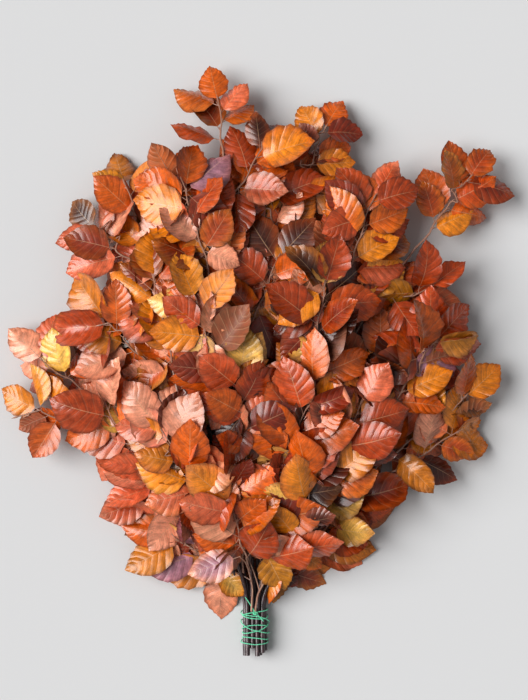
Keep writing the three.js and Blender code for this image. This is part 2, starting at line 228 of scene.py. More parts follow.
# Shoots over the neck, in millimetres from the tie: thickness, then the places passed.
NECK_SHOOTS = (
    (2.8, (0, 24, 12), (2, 36, 14), (6, 52, 15), (28, 88, 19), (47, 104, 21)),
    (2.6, (-5, 24, 12), (-4, 40, 14), (-4, 58, 15), (-11, 88, 32), (-20, 101, 52)),
    (1.9, (6, 52, 15), (-1, 75, 18), (-9, 95, 20), (-15, 106, 22)),
    (1.9, (8, 56, 14), (9, 70, 17), (11, 88, 20), (10, 102, 22)),
    (1.8, (28, 88, 19), (33, 90, 17)),
    (1.8, (-6, 66, 15), (-26, 76, 10), (-46, 78, 4)),
    (1.8, (10, 62, 9), (20, 76, 5), (27, 80, 2)),
    (1.6, (47, 104, 21), (52, 112, 20)),
)

FLOOR_HALF = 3.0  # metres
KEY_TOWARDS = (1.0, -0.1, -1.0)  # the way the light of each soft source travels
KEY_SPREAD = math.radians(48)
FILL_TOWARDS = (-0.6, 0.5, -1.2)
FILL_SPREAD = math.radians(100)
CONTRAST = 0.88  # the view's gamma; below 1 deepens the middle tones
EXPOSURE = 0.06
SENSOR = 36
CAMERA_DISTANCE = 2.6  # metres above the middle of the bunch
VIEW_CENTRE = (11.8, 370.7, 0)  # millimetres from the tie
VIEW_HEIGHT = 0.917  # metres

# Colours by weight, and the places where some are commoner: a centre and a reach as shares of the box.
COMMON_COLOURS = {
    "rust": 6, "copper": 6, "chestnut": 3, "umber": 1.6, "amber": 2, "salmon": 1.6, "ochre": 0.2,
    "cream": 0.3, "mauve": 0.1, "blush": 0.9,
}
COLOUR_ZONES = (
    # Painted highlight: the first four zones, on the left and lower left, favour the pale pink sheen colour,
    # salmon and cream, so that leaves there are painted paler where the key light from the left glances off
    # them.
    ((0.20, 0.43), 0.18, {"salmon": 9, "blush": 11, "cream": 3, "amber": 3}),
    ((0.22, 0.28), 0.12, {"blush": 14, "cream": 8, "salmon": 6, "amber": 5}),
    ((0.22, 0.70), 0.12, {"salmon": 5, "blush": 3, "amber": 6}),
    ((0.36, 0.20), 0.08, {"mauve": 4, "blush": 9, "salmon": 6}),
    ((0.54, 0.19), 0.07, {"ochre": 12, "amber": 6, "cream": 2}),
    ((0.62, 0.45), 0.13, {"umber": 8, "chestnut": 5}),
    ((0.21, 0.83), 0.10, {"amber": 9, "copper": 3}),
    ((0.06, 0.50), 0.07, {"amber": 9, "salmon": 5}),
    ((0.92, 0.35), 0.08, {"amber": 12, "umber": 2}),
    ((0.85, 0.55), 0.09, {"umber": 5, "rust": 5, "amber": 3}),
    ((0.49, 0.87), 0.14, {"copper": 9, "rust": 5}),
    ((0.93, 0.80), 0.09, {"rust": 9, "copper": 4}),
)
LOW_AMBER = 14
LOW_OCHRE = 3
LOW_FROM = 0.5  # the depth, as a share of the bunch's height, below which these two grow commoner

# Fixed colours.
DRIED_MARGIN = "5A2C18"
UNDERSIDE = "D8A47C"
BARK_PORE = "B39A8C"
STALK_RED = "8E4A2C"
END_GRAIN_PORE = "6E3F2C"
BUD_SCALE = "8A5A34"
BUD_SCALE_LIGHT = "B98552"
SKY = "F2F3F6"


def srgb(hex_value):
    """A hex colour as linear red, green and blue."""
    parts = [int(hex_value[i:i + 2], 16) / 255 for i in (0, 2, 4)]
    return tuple(p / 12.92 if p <= 0.04045 else ((p + 0.055) / 1.055) ** 2.4 for p in parts)


def colour_prop(name, description, hex_value):
    return FloatVectorProperty(
        name=name, description=description, subtype="COLOR", size=3, min=0, max=1, default=srgb(hex_value)
    )


def length_prop(name, description, default):
    return FloatProperty(name=name, description=description, default=default, min=0, unit="LENGTH")


def strength_prop(name, description, default):
    return FloatProperty(name=name, description=description, default=default, min=0)


# ---- Settings -------------------------------------------------------------------------------------


class BeechLeafSettings(bpy.types.PropertyGroup):
    thickness: length_prop("Thickness", "Thickness of a blade", 0.3 * MM)
    pleat: length_prop("Pleat depth", "How far the blade rises between its side veins", 1.1 * MM)
    vein_pairs: IntProperty(
        name="Vein pairs", description="Side veins on each half", default=7, min=3, max=10
    )
    petiole_share: FloatProperty(
        name="Stalk share", description="Stalk length as a share of the whole leaf", default=0.12,
        min=0, max=0.4
    )
    petiole_radius: length_prop("Stalk radius", "Radius of a leaf stalk at the twig", 0.62 * MM)
    rust: colour_prop("Rust", "The commonest leaf colour", "BC4708")
    copper: colour_prop("Copper", "Brighter orange leaves", "DC660C")
    amber: colour_prop("Amber", "Golden leaves, mostly low down and at the edges", "E88A12")
    chestnut: colour_prop("Chestnut", "Red-brown leaves", "8A2C0A")
    umber: colour_prop("Umber", "Dark brown leaves", "45180A")
    salmon: colour_prop("Salmon", "Pinkish leaves, mostly on the left", "E07048")
    mauve: colour_prop("Mauve", "Leaves with a lilac bloom", "B88494")
    # Painted sheen: a pale pink-orange leaf colour that stands in for the gloss highlight of the key light
    # on the leaves, mostly low on the left.
    blush: colour_prop("Blush", "Pale pink-orange leaves, mostly low on the left", "F2A482")
    ochre: colour_prop("Ochre", "Olive-gold leaves", "BE7A14")
    cream: colour_prop("Cream", "Pale yellow leaves", "F2BC58")
    vein: colour_prop("Veins", "Midrib and side veins", "E0B48A")


class BeechWoodSettings(bpy.types.PropertyGroup):
    bark: colour_prop("Bark", "Bark of the stems", "28161A")
    bark_light: colour_prop("Bark bloom", "Greyer skin on the bark", "6E5458")
    twig: colour_prop("Twig", "Bark of the thin twigs", "A87C68")
    stalk: colour_prop("Stalk", "Skin of the leaf stalks", "E0BCA4")
    cut: colour_prop("Cut wood", "Sawn ends of the stems", "B98A66")
    twig_radius: length_prop("Twig radius", "Radius of a twig where it leaves its stem", 1.45 * MM)


class BeechTwineSettings(bpy.types.PropertyGroup):
    diameter: length_prop("Diameter", "Diameter of the twine", 1.6 * MM)
    lay: length_prop("Lay", "Length of one full twist of the strands", 5.5 * MM)
    colour: colour_prop("Colour", "Dyed fibre", "7CE8BC")


class BeechStageSettings(bpy.types.PropertyGroup):
    floor: colour_prop("Floor", "Colour of the floor", "DDDDDD")
    key: strength_prop("Key light", "Strength of the main soft light", 3.3)
    fill: strength_prop("Fill light", "Strength of the opposite soft light", 0.2)
    sky: strength_prop("Ambient", "Strength of the even light all round", 0.23)


# ---- Reading the CAD model ------------------------------------------------------------------------


def merged_copy(node):
    """A bmesh of a CAD node, with its loose triangles joined up."""
    bm = bmesh.new()
    bm.from_mesh(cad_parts[node].data)
    bmesh.ops.remove_doubles(bm, verts=bm.verts, dist=WELD)
    return bm


def middle(points):
    return sum(points, Vector()) / len(points)


def clusters(points, reach):
    """Groups of points that are linked by steps shorter than reach."""
    groups = []
    for point in points:
        near = [g for g in groups if any((point - other).length < reach for other in g)]
        groups = [g for g in groups if not any(g is n for n in near)]
        groups.append(sum(near, [point]))
    return groups


def share_of_box(place):
    return Vector(((place.x - CAD_LOW.x) / CAD_SIZE.x, (place.y - CAD_LOW.y) / CAD_SIZE.y))


def droop(foot, heading, normal):
    """A leaf's heading and upper side after it has sagged outwards, most of all at the rim."""
    outward = share_of_box(foot) - Vector(DENSE_MIDDLE)
    axis = Vector((-outward.y, outward.x, 0))
    turn = Matrix.Rotation(min(outward.length, RIM_SHARE) / RIM_SHARE * RIM_DROOP, 3, axis)
    return turn @ heading, turn @ normal


class Blade:
    """Where one leaf is: its foot on the twig, the way it points, its upper side and its size."""

    def __init__(self, foot, heading, normal, length, width, colours=None):
        if not colours:
            heading, normal = droop(foot, heading, normal)
        self.foot, self.heading, self.colours = foot, heading, colours
        self.length, self.width = length, width
        self.across = heading.cross(normal).normalized()
        self.normal = self.across.cross(heading)
        self.middle = foot + heading * length * LEAF_MIDDLE


def blade_from_corners(tip, left, right, keel):
    """The blade that a CAD leaf stands for, from its tip and the three corners before the tip."""
    waist = (left + right) / 2
    heading = (tip - waist).normalized()
    length = (tip - waist).length / (1 - WAIST)
    width = (left - right).length / WAIST_WIDTH_SHARE
    foot = tip - heading * length
    fuller = FULLNESS if is_dense(waist) else 1
    return Blade(foot, heading, (waist - keel).normalized(), length * fuller, width * fuller)


def is_dense(place):
    return (share_of_box(place) - Vector(DENSE_MIDDLE)).length < DENSE_REACH


def companions(blade, draw):
    """More leaves from the same bud, where the bunch is dense: turned aside and hanging a little lower."""
    more = []
    if not is_dense(blade.middle):
        return more
    for i in range(draw.choice(COMPANION_COUNTS)):
        turn = Matrix.Rotation((-1) ** i * draw.uniform(*COMPANION_TURN), 3, "Z")
        heading = turn @ blade.heading
        heading.z = min(heading.z, COMPANION_RISE) - draw.uniform(*COMPANION_DIP)
        length = blade.length * draw.uniform(*COMPANION_LENGTH)
        heading.normalize()
        heading.z = max(heading.z, (LOWEST_TIP - blade.foot.z) / length)
        heading.normalize()
        lean = [draw.gauss(0, COMPANION_LEAN) for _ in range(2)]
        normal = Vector((*lean, 1)).normalized()
        leaf = Blade(blade.foot, heading, normal, length, length * draw.uniform(*COMPANION_WIDTH))
        tip = leaf.foot + heading * length
        if all(CAD_LOW[a] < tip[a] < CAD_HIGH[a] for a in (0, 1)):
            more.append(leaf)
    return more


def read_spray(node):
    """The blades of a spray, from its foot outwards, and the points its twig passes."""
    bm = merged_copy(node)
    blades, used = [], []
    for vert in bm.verts:
        around = [edge.other_vert(vert) for edge in vert.link_edges]
        if len(around) != 3 or min(e.calc_length() for e in vert.link_edges) < SHORTEST_TIP_EDGE:
            continue
        left, right = max(combinations(around, 2), key=lambda pair: (pair[0].co - pair[1].co).length)
        keel = next(v for v in around if v not in (left, right))
        blade = blade_from_corners(vert.co, left.co, right.co, keel.co)
        blades.append(blade)
        used += [vert.co.copy(), left.co.copy(), right.co.copy(), keel.co.copy()]
    feet = [blade.foot for blade in blades]
    loose = [
        v.co.copy() for v in bm.verts
        if all((v.co - u).length > WELD for u in used)
        and all((v.co - f).length > CLEAR_OF_FOOT for f in feet)
    ]
    bm.free()
    rings = [middle(g) for g in clusters(loose, RING_REACH) if len(g) >= 3]
    ahead = middle([blade.heading for blade in blades])
    if not blades or not rings:
        raise RuntimeError(f"{node} has no leaves or no twig that can be read")
    start = min(rings, key=lambda p: p.dot(ahead))
    blades.sort(key=lambda blade: (blade.foot - start).length)
    route = sorted(rings + feet, key=lambda p: (p - start).length)
    return blades, route


def read_stem(node):
    """The middles of a stem's rings with their radii, from its cut end up."""
    bm = merged_copy(node)
    rings = clusters([v.co.copy() for v in bm.verts], STEM_RING_REACH)
    bm.free()
    rings = sorted(((middle(g), g) for g in rings), key=lambda ring: ring[0].y)
    return [(m, max((p - m).length for p in g)) for m, g in rings]


# ---- Shared tools ---------------------------------------------------------------------------------


def smooth_route(points, steps):
    """Points on a smooth curve through the given ones, a few to each span."""
    ends = [2 * points[0] - points[1]] + list(points) + [2 * points[-1] - points[-2]]
    route = []
    for before, here, there, after in zip(ends, ends[1:], ends[2:], ends[3:]):
        for i in range(steps):
            t = i / steps
            route.append(0.5 * (
                2 * here + (there - before) * t
                + (2 * before - 5 * here + 4 * there - after) * t * t
                + (3 * here - before - 3 * there + after) * t ** 3
            ))
    return route + [points[-1].copy()]


def rods_mesh(name, strands, sides):
    """One mesh of many round rods with closed ends. A strand is a material index and a route whose points
    have the rod's radius as their fourth number."""
    curve = bpy.data.curves.new(name, "CURVE")
    curve.dimensions = "3D"
    curve.bevel_depth = 1
    curve.bevel_resolution = (sides - 4) // 2
    curve.use_fill_caps = True
    curve.twist_mode = "MINIMUM"
    for material, route in strands:
        spline = curve.splines.new("POLY")
        spline.points.add(len(route) - 1)
        spline.material_index = material
        for point, place in zip(spline.points, route):
            point.co = (*place.xyz, 1)
            point.radius = place.w
    holder = bpy.data.objects.new(name + "_route", curve)
    bpy.context.scene.collection.objects.link(holder)
    graph = bpy.context.evaluated_depsgraph_get()
    mesh = bpy.data.meshes.new_from_object(holder.evaluated_get(graph))
    bpy.data.objects.remove(holder)
    bpy.data.curves.remove(curve)
    bm = bmesh.new()
    bm.from_mesh(mesh)
    bmesh.ops.remove_doubles(bm, verts=bm.verts, dist=0.001 * MM)
    bmesh.ops.recalc_face_normals(bm, faces=bm.faces)
    for face in bm.faces:
        face.smooth = True
    for edge in bm.edges:
        edge.smooth = edge.calc_face_angle(0) < SHARP_EDGE
    bm.to_mesh(mesh)
    bm.free()
    return mesh


def show(name, mesh, materials, slot, *nodes):
    """Puts a finished mesh in the scene, in place of the CAD nodes it stands for."""
    mesh.name = name
    slots = [polygon.material_index for polygon in mesh.polygons]
    mesh.materials.clear()
    for material in materials:
        mesh.materials.append(material)
    mesh.polygons.foreach_set("material_index", slots)
    piece = bpy.data.objects.new(name, mesh)
    bpy.context.scene.collection.objects.link(piece)
    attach(piece, "root")
    if nodes:
        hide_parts(*nodes)
    return piece


def add_node(tree, kind, inputs=None, **settings):
    """One shader node with its settings. An input is a value, or another node's output to link it to."""
    node = tree.nodes.new(kind)
    for key, value in settings.items():
        setattr(node, key, value)
    for key, value in (inputs or {}).items():
        if isinstance(value, bpy.types.NodeSocket):
            tree.links.new(value, node.inputs[key])
        else:
            node.inputs[key].default_value = value
    return node


def arithmetic(tree, operation, *inputs):
    """The result of one calculation on numbers or other nodes' outputs."""
    return add_node(tree, "ShaderNodeMath", dict(enumerate(inputs)), operation=operation).outputs[0]


def remap(tree, value, start, end, start_value, end_value, smooth=False):
    """An output taken from one range to another and held inside it."""
    inputs = {0: value, 1: start, 2: end, 3: start_value, 4: end_value}
    kind = "SMOOTHSTEP" if smooth else "LINEAR"
    return add_node(tree, "ShaderNodeMapRange", inputs, interpolation_type=kind).outputs[0]


def blend(tree, amount, first, second):
    """A colour between two others."""
    return add_node(tree, "ShaderNodeMix", {0: amount, 6: first, 7: second}, data_type="RGBA").outputs[2]


def cloudy(tree, place, scale, detail, roughness=0.5):
    """Soft noise, with its lumps 1 / scale apart."""
    inputs = {"Vector": place, "Scale": scale, "Detail": detail, "Roughness": roughness}
    return add_node(tree, "ShaderNodeTexNoise", inputs).outputs[0]


def tinted(tree, colour, tone):
    """A colour made lighter or darker by an output."""
    return add_node(tree, "ShaderNodeVectorMath", {0: colour, 1: tone}, operation="MULTIPLY").outputs[0]


def relief(tree, height, strength, depth):
    """A surface direction that follows an output up and down."""
    inputs = {"Height": height, "Strength": strength, "Distance": depth}
    return add_node(tree, "ShaderNodeBump", inputs).outputs[0]


def object_place(tree):
    return add_node(tree, "ShaderNodeTexCoord").outputs["Object"]


def connect(tree, shader, sources):
    for key, source in sources.items():
        tree.links.new(source, shader.inputs[key])


def new_material(name, values):
    """A material with constants on its Principled shader, and the tree and shader to link nodes to."""
    material = bpy.data.materials.new(name)
    material.use_nodes = True
    shader = material.node_tree.nodes["Principled BSDF"]
    for key, value in values.items():
        shader.inputs[key].default_value = value
    return material, material.node_tree, shader


def opaque(colour):
    return (*colour, 1)


# ---- Leaves ---------------------------------------------------------------------------------------


class LeafForm:
    """How one leaf has dried, drawn at random: its bends in radians and its waves in metres."""

    def __init__(self, draw):
        curled = draw.random() < CURLED_SHARE
        self.arch = draw.uniform(*ARCH) + (CURLED_ARCH if curled else 0)
        if curled:
            self.cup = draw.choice((-1, 1)) * draw.uniform(*CURLED_CUP)
        else:
            self.cup = draw.gauss(0, CUP_SPREAD)
        self.fold = draw.choice((-1, 1)) * draw.uniform(*FOLD)
        self.wave = draw.uniform(*WAVE_HEIGHT) * MM
        self.waves = draw.uniform(*WAVE_COUNT)
        self.phase = draw.random()
        self.offset = draw.random()
        self.roll = draw.gauss(0, ROLL_SPREAD)
        self.twist = draw.gauss(0, TWIST_SPREAD)
        self.sweep = draw.uniform(-SWEEP, SWEEP)
        self.pleat = draw.uniform(*PLEAT_RANGE)
        margin = RAGGED_MARGIN if draw.random() < RAGGED_SHARE else WHOLE_MARGIN
        self.ragged = draw.uniform(*margin)
        self.seed = draw.uniform(0, 100)
        self.turned_over = draw.random() < TURNED_OVER_SHARE


def half_outline(along):
    """Half the width of a beech leaf, as a share of its greatest, from its round base to its pointed tip."""
    swell = math.sin(math.pi * min(along, 1) ** 0.84)
    return max(swell, 0) ** (0.5 + 0.5 * along * along)


def blade_point(x, v, skin, blade, form, settings):
    """A point of a leaf: x runs from margin to margin as -1 to 1, v along the rows of veins from 0 to 1."""
    rows = 2 * settings.vein_pairs
    blade_length = blade.length * (1 - settings.petiole_share)
    along = v + VEIN_SLANT * abs(x) * math.sin(math.pi * (BASE_SLANT + (1 - BASE_SLANT) * v))
    ridge = -math.cos(math.pi * v * rows)
    nibble = noise.noise(Vector((along * NIBBLES, x * 0.7, form.seed))) * form.ragged * 2
    half = blade.width / 2 * half_outline(along) * (1 + ridge * TOOTH * abs(x) + nibble * abs(x)) + TIP_HALF
    reach = x * half
    # Across: a circular bend, a fold at the midrib, pleats and waves.
    bend = form.cup / (blade.width / 2)
    angle = bend * reach
    side = math.sin(angle) / bend if abs(form.cup) > FLATTEST_CUP else reach
    rise = (1 - math.cos(angle)) / bend if abs(form.cup) > FLATTEST_CUP else 0
    rise += abs(side) * math.tan(form.fold)
    rise += (ridge * settings.pleat * form.pleat * abs(x) ** 0.6 * math.sin(math.pi * v) ** 0.5
             * (1 - PLEAT_FADE * v))
    rise += form.wave * abs(x) ** 1.5 * math.sin(2 * math.pi * (form.waves * along + form.phase
                                                             + (form.offset if x > 0 else 0)))
    rise += settings.thickness * skin
    turn = form.roll + form.twist * (along - 0.5)
    side, rise = (
        side * math.cos(turn) - rise * math.sin(turn),
        side * math.sin(turn) + rise * math.cos(turn),
    )
    side += form.sweep * blade_length * along * along
    # Lengthwise: an arch whose chord lies along the heading.
    lean = form.arch * (along - 0.5)
    forward = (math.sin(lean) + math.sin(form.arch / 2)) / form.arch * blade_length
    height = (math.cos(lean) - math.cos(form.arch / 2)) / form.arch * blade_length
    forward += rise * math.sin(lean)
    height += rise * math.cos(lean)
    up = -1 if form.turned_over else 1
    start = blade.foot + blade.heading * blade.length * settings.petiole_share
    place = start + blade.heading * forward + blade.normal * (up * height) + blade.across * (up * side)
    place.z = max(place.z, FLOOR_GAP + settings.thickness * (1 + up * skin))
    return place


def blade_pattern(settings):
    """The unit blade: an upper and a lower skin that share their rim, in rows along the side veins."""
    bm = bmesh.new()
    uv = bm.loops.layers.uv.new("blade")
    bm.verts.layers.float_color.new("leaf_colour")
    bmesh.ops.create_grid(bm, x_segments=4, y_segments=2 * settings.vein_pairs, size=0.5)
    for face in bm.faces:
        face.smooth = True
        for loop in face.loops:
            loop[uv].uv = (loop.vert.co.x + 0.5, loop.vert.co.y + 0.5)
    copied = bmesh.ops.duplicate(bm, geom=bm.verts[:] + bm.edges[:] + bm.faces[:])["geom"]
    lower = [item for item in copied if isinstance(item, bmesh.types.BMFace)]
    for vert in {v for face in lower for v in face.verts}:
        if not vert.is_boundary:
            vert.co.z = -1
    for face in lower:
        face.material_index = 1
    bmesh.ops.reverse_faces(bm, faces=lower)
    bmesh.ops.remove_doubles(bm, verts=bm.verts, dist=1e-4)
    for edge in bm.edges:
        ends = [settings.vein_pairs * (vert.co.y + 0.5) for vert in edge.verts]
        on_vein = abs(ends[0] - ends[1]) < 0.01 and abs(ends[0] - round(ends[0])) < 0.01
        on_rim = len({face.material_index for face in edge.link_faces}) == 2
        edge.smooth = not (on_vein or on_rim)
    mesh = bpy.data.meshes.new("blade_pattern")
    bm.to_mesh(mesh)
    bm.free()
    return mesh


def leaf_colours(blade, draw, settings):
    """A leaf's main colour and the colour it turns towards its margins, by its place in the bunch."""
    if blade.colours:
        main, other = (Vector(getattr(settings, key)) for key in blade.colours)
        return main, other
    weights = dict(COMMON_COLOURS)
    share = share_of_box(blade.middle)
    for centre, reach, extra in COLOUR_ZONES:
        near = math.exp(-((share - Vector(centre)).length / reach) ** 2)
        for key, weight in extra.items():
            weights[key] = weights.get(key, 0) + weight * near
    depth = 1 - (blade.middle.z - CAD_LOW.z) / CAD_SIZE.z
    weights["amber"] += LOW_AMBER * max(depth - LOW_FROM, 0)
    weights["ochre"] += LOW_OCHRE * max(depth - LOW_FROM, 0)
    first, second = draw.choices(list(weights), list(weights.values()), k=2)
    tone = draw.gauss(1, TONE_SPREAD)
    main = Vector(getattr(settings, first)) * tone
    other = Vector(getattr(settings, second)) * tone
    return main, main.lerp(other, draw.uniform(*MARGIN_TURN))


def add_leaf(bm, pattern, blade, form, draw, settings):
    """Adds one blade to a spray's mesh."""
    before = len(bm.verts)
    bm.from_mesh(pattern)
    bm.verts.ensure_lookup_table()
    colour = bm.verts.layers.float_color["leaf_colour"]
    main, margin = leaf_colours(blade, draw, settings)
    for vert in bm.verts[before:]:
        x, v, skin = 2 * vert.co.x, vert.co.y + 0.5, vert.co.z
        outward = min(1, abs(x) ** 2 + (2 * abs(v - MAIN_COLOUR_AT)) ** 3)
        vert[colour] = opaque(main.lerp(margin, outward))
        vert.co = blade_point(x, v, skin, blade, form, settings)


def leaf_material(name, settings, upper):
    """Beech leaf preserved in glycerine: it keeps a supple waxy skin, so it has a satin gloss that the
    pleats break into streaks. The underside is duller, with its veins standing out."""
    values = {"IOR": 1.46, "Coat Weight": 0.9 if upper else 0.15, "Coat Roughness": 0.24}
    material, tree, shader = new_material(name, values)
    place = object_place(tree)
    blade = add_node(tree, "ShaderNodeUVMap", uv_map="blade").outputs[0]
    grid = add_node(tree, "ShaderNodeSeparateXYZ", {0: blade})
    own = add_node(tree, "ShaderNodeAttribute", attribute_name="leaf_colour").outputs["Color"]
    # How far a point is from the midrib and from the nearest side vein.
    off_rib = arithmetic(tree, "ABSOLUTE", arithmetic(tree, "SUBTRACT", grid.outputs["X"], 0.5))
    rows = arithmetic(tree, "MULTIPLY", grid.outputs["Y"], settings.vein_pairs)
    off_vein = arithmetic(tree, "PINGPONG", rows, 0.5)
    rib = remap(tree, off_rib, 0.004, 0.018, 0.42, 0.0, smooth=True)
    vein = remap(tree, off_vein, 0.01, 0.09, 0.1 if upper else 0.3, 0.0, smooth=True)
    margin = remap(tree, off_rib, 0.4, 0.5, 0.0, 0.45, smooth=True)
    lines = arithmetic(tree, "MAXIMUM", rib, vein)
    # Blotches about a centimetre across, and fine mottling.
    blotch = cloudy(tree, place, 95, 3, roughness=0.55)
    mottle = cloudy(tree, place, 420, 2)
    shade = remap(tree, blotch, 0.3, 0.7, 0.66, 1.22)
    grain = remap(tree, mottle, 0.3, 0.7, 0.9, 1.1)
    # Fine ribs run beside the side veins, about 2 mm apart. Their raised crests are painted lighter and
    # their hollows darker: a painted highlight and shade on the ribs.
    along_veins = add_node(tree, "ShaderNodeMapping", {"Vector": blade, "Scale": (2.5, 26, 1)}).outputs[0]
    ribs = cloudy(tree, along_veins, 1, 2)
    painted_rib_light = remap(tree, ribs, 0.3, 0.7, 0.78, 1.24)
    tone = arithmetic(tree, "MULTIPLY", arithmetic(tree, "MULTIPLY", shade, grain), painted_rib_light)
    dried = blend(tree, margin, tinted(tree, own, tone), opaque(srgb(DRIED_MARGIN)))
    skin = blend(tree, lines, dried, opaque(settings.vein))
    if not upper:
        skin = blend(tree, 0.22, skin, opaque(srgb(UNDERSIDE)))
    gloss = remap(tree, blotch, 0.3, 0.7, *((0.28, 0.46) if upper else (0.5, 0.66)))
    # The net of small veins is half a millimetre apart; it is drawn at 2.4 mm so that it shows.
    net = add_node(tree, "ShaderNodeTexVoronoi", {"Vector": place, "Scale": 420}, feature="DISTANCE_TO_EDGE")
    raised = arithmetic(tree, "MULTIPLY", lines, -0.6 if upper else 0.6)
    netted = arithmetic(tree, "MULTIPLY_ADD", net.outputs["Distance"], 0.5 if upper else -0.5, raised)
    height = arithmetic(tree, "MULTIPLY_ADD", ribs, 1.6, netted)
    connect(tree, shader, {
        "Base Color": skin, "Roughness": gloss, "Normal": relief(tree, height, 0.6, 0.5 * MM),
    })
    return material


# ---- Twigs, stems and twine -----------------------------------------------------------------------


def with_radius(point, radius):
    return Vector((*point.xyz, radius))


def stalk_strand(blade, form, settings):
    """A leaf's stalk from the twig to the blade, running on as the midrib along the lower skin."""
    points = [blade_point(0, v, -1, blade, form, settings) for v in MIDRIB_ROWS]
    sag = blade.normal * (-STALK_SAG * blade.length * settings.petiole_share)
    half_way = (blade.foot + points[0]) / 2 + sag
    places = [blade.foot, half_way] + points
    return [with_radius(p, settings.petiole_radius * t) for p, t in zip(places, STALK_TAPER)]


def bud_strand(foot, way, length):
    """A slender pointed beech bud."""
    return [with_radius(foot + way * length * s, length * r) for s, r in BUD_PROFILE]


def twig_strands(blades, route, draw, wood):
    """A twig's rod, knuckled at each leaf, with a bud at its tip and beside some of the leaves."""
    kept = [route[0]]
    for point in route[1:]:
        if (point - kept[-1]).length > CLOSEST_BENDS:
            kept.append(point)
    back = (kept[0] - kept[1]).normalized()
    kept.insert(0, kept[0] + back * ROOT_DEPTH)
    count = len(kept)
    rod = []
    for i, point in enumerate(kept):
        radius = wood.twig_radius * (1 - TWIG_TAPER * i / count) * (TWIG_COLLAR if i == 0 else 1)
        rod.append(with_radius(point, radius))
    rod = smooth_route(rod, TWIG_STEPS)
    for i, point in enumerate(rod):
        point.w *= 1 + KNUCKLE_RISE * (i % TWIG_STEPS == 0) - KNUCKLE_WAIST * (i % TWIG_STEPS == 1)
        point.x += draw.uniform(-TWIG_WANDER, TWIG_WANDER) * MM
    way = (kept[-1] - kept[-2]).normalized()
    strands = [(0, rod), (2, bud_strand(kept[-1], way, draw.uniform(*END_BUD) * MM))]
    for blade in blades[:-1]:
        if draw.random() < BUD_SHARE:
            along = (blade.heading + way * BUD_FORWARD + Vector((0, 0, BUD_UP))).normalized()
            strands.append((2, bud_strand(blade.foot, along, draw.uniform(*SIDE_BUD) * MM)))
    return strands


def stem_mesh(name, rings, draw):
    """A stem through its CAD rings, with knuckles where shoots have been, and a sawn end."""
    points = smooth_route([with_radius(m, r) for m, r in rings], STEM_STEPS)
    for i, point in enumerate(points):
        spot = point.xyz * WANDER_SCALE + Vector((draw.random(), 0, 0))
        wobble = Vector([noise.noise(spot + Vector((apart, 0, 0))) for apart in WANDER_APART])
        if i > STRAIGHT_STEPS:
            point.xyz += wobble * STEM_WANDER_MM * MM
        scar = STEM_SCAR_SWELL if draw.random() < STEM_SCAR_SHARE else 0
        point.w *= 0.96 + 0.1 * noise.noise(point.xyz * 160) + scar
        point.w *= 1 + SWOLLEN_BUTT * max(0, 1 - (point.y - points[0].y) / BUTT_REACH)
    mesh = rods_mesh(name, [(0, points)], STEM_SIDES)
    bm = bmesh.new()
    bm.from_mesh(mesh)
    cut = points[0].xyz
    cap = [f for f in bm.faces if len(f.verts) == 3 and (f.calc_center_median() - cut).length < CAP_REACH]
    end = bmesh.ops.dissolve_faces(bm, faces=cap)["region"][0]
    bmesh.ops.bevel(bm, geom=end.edges[:], offset=CUT_BEVEL, offset_type="OFFSET", affect="EDGES",
                    segments=1, profile=0.5, material=-1)
    # The first inset leaves a ring of bark; the wood inside it is slightly dished.
    end = max(bm.faces, key=lambda f: len(f.verts))
    bmesh.ops.inset_individual(bm, faces=[end], thickness=BARK_THICKNESS, depth=0)
    dish = bmesh.ops.inset_individual(bm, faces=[end], thickness=HEART_INSET, depth=-HEART_DEPTH)["faces"]
    for face in [end] + dish:
        face.material_index = 1
    bm.to_mesh(mesh)
    bm.free()
    return mesh


def bark_material(name, dark, light, painted_lit_colour, gloss):
    """Young beech bark: thin, smooth and tight, so it shines in a line along the stem, with a greyish bloom
    in streaks along it and small pale breathing pores."""
    material, tree, shader = new_material(name, {"IOR": 1.5, "Coat Weight": gloss, "Coat Roughness": 0.28})
    place = object_place(tree)
    lengthwise = add_node(tree, "ShaderNodeMapping", {"Vector": place, "Scale": (1, 0.12, 1)}).outputs[0]
    streaks = cloudy(tree, lengthwise, 700, 3)
    bloomed = blend(tree, remap(tree, streaks, 0.42, 0.7, 0.0, 0.8), opaque(dark), opaque(light))
    # Painted light: the wood is painted paler the farther it is from the tie, standing in for the light that
    # falls on the upper stems.
    along = add_node(tree, "ShaderNodeSeparateXYZ", {0: place}).outputs["Y"]
    painted_light_share = remap(tree, along, TIE.y + PAINTED_LIGHT_FROM, TIE.y + PAINTED_LIGHT_TO, 0.0, 0.8)
    lit_bark = blend(tree, painted_light_share, bloomed, opaque(painted_lit_colour))
    # Pores stand 3 to 5 mm apart.
    cells = add_node(tree, "ShaderNodeTexVoronoi", {"Vector": place, "Scale": 260}).outputs["Distance"]
    pores = remap(tree, cells, 0.1, 0.18, 0.7, 0.0)
    height = arithmetic(tree, "ADD", streaks, pores)
    connect(tree, shader, {
        "Base Color": blend(tree, pores, lit_bark, opaque(srgb(BARK_PORE))),
        "Roughness": remap(tree, streaks, 0.3, 0.7, 0.24, 0.42),
        "Normal": relief(tree, height, 0.5, 0.3 * MM),
    })
    return material


def stalk_material(wood):
    """Leaf stalks and buds: a thin smooth skin, straw-coloured with redder stretches."""
    material, tree, shader = new_material("leaf_stalk_skin", {"Roughness": 0.42, "IOR": 1.46})
    amount = remap(tree, cloudy(tree, object_place(tree), 130, 2), 0.4, 0.65, 0.0, 0.75)
    connect(tree, shader, {"Base Color": blend(tree, amount, opaque(wood.stalk), opaque(srgb(STALK_RED)))})
    return material


